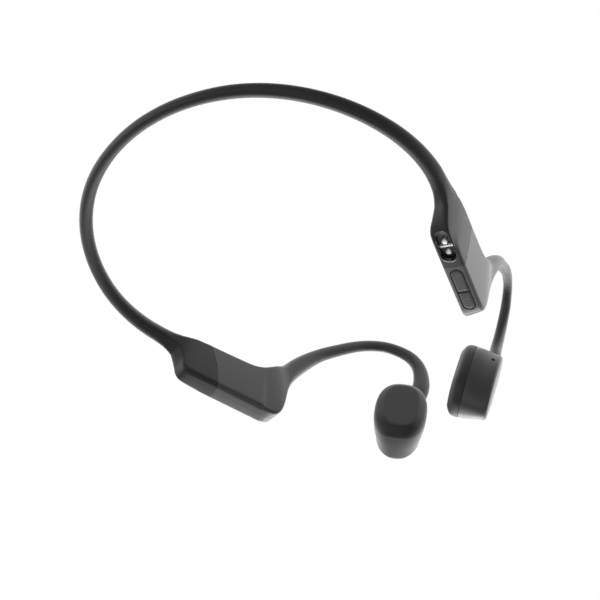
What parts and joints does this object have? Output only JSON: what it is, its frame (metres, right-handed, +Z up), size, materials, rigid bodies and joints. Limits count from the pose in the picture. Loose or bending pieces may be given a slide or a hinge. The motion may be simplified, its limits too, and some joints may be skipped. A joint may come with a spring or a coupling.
{
  "type": "bone conduction headphones",
  "caption": "Open-ear bone conduction headphones: a silicone-sleeved titanium neckband joins two behind-ear housings with ear hooks and cheekbone transducer pods.",
  "frame": {"origin": "bottom centre of the bounding box: on the plane of symmetry, on the surface that the housings and pods rest on", "axes": "+X to the wearer's right, +Y forward (nape to face), +Z up as worn"},
  "size_m": [0.1226, 0.147, 0.0523],
  "materials": {
    "sleeve_silicone": "matt silicone",
    "hook_silicone": "soft-touch silicone",
    "housing_plastic": "soft-touch charcoal coating",
    "pad_silicone": "matt silicone",
    "titanium_wire": "drawn titanium",
    "cable_jacket": "extruded jacket",
    "seal_rubber": "moulded",
    "port_plastic": "polished black",
    "contact_gold": "plated",
    "magnet_metal": "nickel plated",
    "key_rubber": "matt elastomer",
    "button_plastic": "satin",
    "circuit_board": "solder mask",
    "chip_black": "moulded package",
    "shield_metal": "tin plated",
    "battery_foil": "pouch foil",
    "plate_plastic": "moulded",
    "spring_steel": "rolled",
    "yoke_steel": "plated steel",
    "coil_copper": "enamelled copper wire"
  },
  "bodies": {
    "right_side": {"antenna_block": "chip_black", "audio_amplifier_chip": "chip_black", "bluetooth_module": "shield_metal", "charging_contacts": "contact_gold", "charging_magnets": "magnet_metal", "charging_port_insert": "port_plastic", "key_bezel": "port_plastic", "key_board": "circuit_board", "key_switches": "chip_black", "main_board": "circuit_board", "neckband_cable_center": "cable_jacket", "neckband_cable_right": "cable_jacket", "neckband_sleeve_center": "sleeve_silicone", "neckband_sleeve_right": "sleeve_silicone", "neckband_wire_center": "titanium_wire", "neckband_wire_right": "titanium_wire", "right_boot": "sleeve_silicone", "right_contact_pad": "pad_silicone", "right_hook_cable": "cable_jacket", "right_hook_sleeve": "hook_silicone", "right_hook_wire": "titanium_wire", "right_housing_inner_shell": "housing_plastic", "right_housing_outer_shell": "housing_plastic", "right_housing_seal": "seal_rubber", "right_leaf_spring": "spring_steel", "right_microphone": "chip_black", "right_pod_shell": "housing_plastic", "right_transducer_magnet": "magnet_metal", "right_transducer_yoke": "yoke_steel", "right_vibration_plate": "plate_plastic", "right_voice_coil": "coil_copper"},
    "left_side": {"battery_cell": "battery_foil", "battery_protection_board": "circuit_board", "button_board": "circuit_board", "button_switch": "chip_black", "left_boot": "sleeve_silicone", "left_contact_pad": "pad_silicone", "left_hook_cable": "cable_jacket", "left_hook_sleeve": "hook_silicone", "left_hook_wire": "titanium_wire", "left_housing_inner_shell": "housing_plastic", "left_housing_outer_shell": "housing_plastic", "left_housing_seal": "seal_rubber", "left_leaf_spring": "spring_steel", "left_pod_shell": "housing_plastic", "left_transducer_magnet": "magnet_metal", "left_transducer_yoke": "yoke_steel", "left_vibration_plate": "plate_plastic", "left_voice_coil": "coil_copper", "neckband_cable_left": "cable_jacket", "neckband_sleeve_left": "sleeve_silicone", "neckband_wire_left": "titanium_wire"},
    "volume_up": {"volume_up_key": "key_rubber"},
    "volume_down": {"volume_down_key": "key_rubber"},
    "multifunction": {"multifunction_button": "button_plastic"}
  },
  "joints": [
    {"name": "neckband_flex", "type": "hinge", "parent": "right_side", "child": "left_side", "pos_m": [0, -0.07173, 0.0134], "axis": [0, 0, 1], "range_deg": [-3, 25], "stiffness_Nm_per_rad": 0.4, "deforming": ["neckband_sleeve_center", "neckband_wire_center", "neckband_cable_center"]},
    {"name": "volume_up_press", "type": "slide", "parent": "right_side", "child": "volume_up", "axis": [0, 0, 1], "range_m": [0, 0.00035], "stiffness_N_per_m": 1500},
    {"name": "volume_down_press", "type": "slide", "parent": "right_side", "child": "volume_down", "axis": [0, 0, 1], "range_m": [0, 0.00035], "stiffness_N_per_m": 1500},
    {"name": "multifunction_press", "type": "slide", "parent": "left_side", "child": "multifunction", "axis": [0.6852, -0.7213, 0.1009], "range_m": [0, 0.0004], "stiffness_N_per_m": 1500}
  ]
}
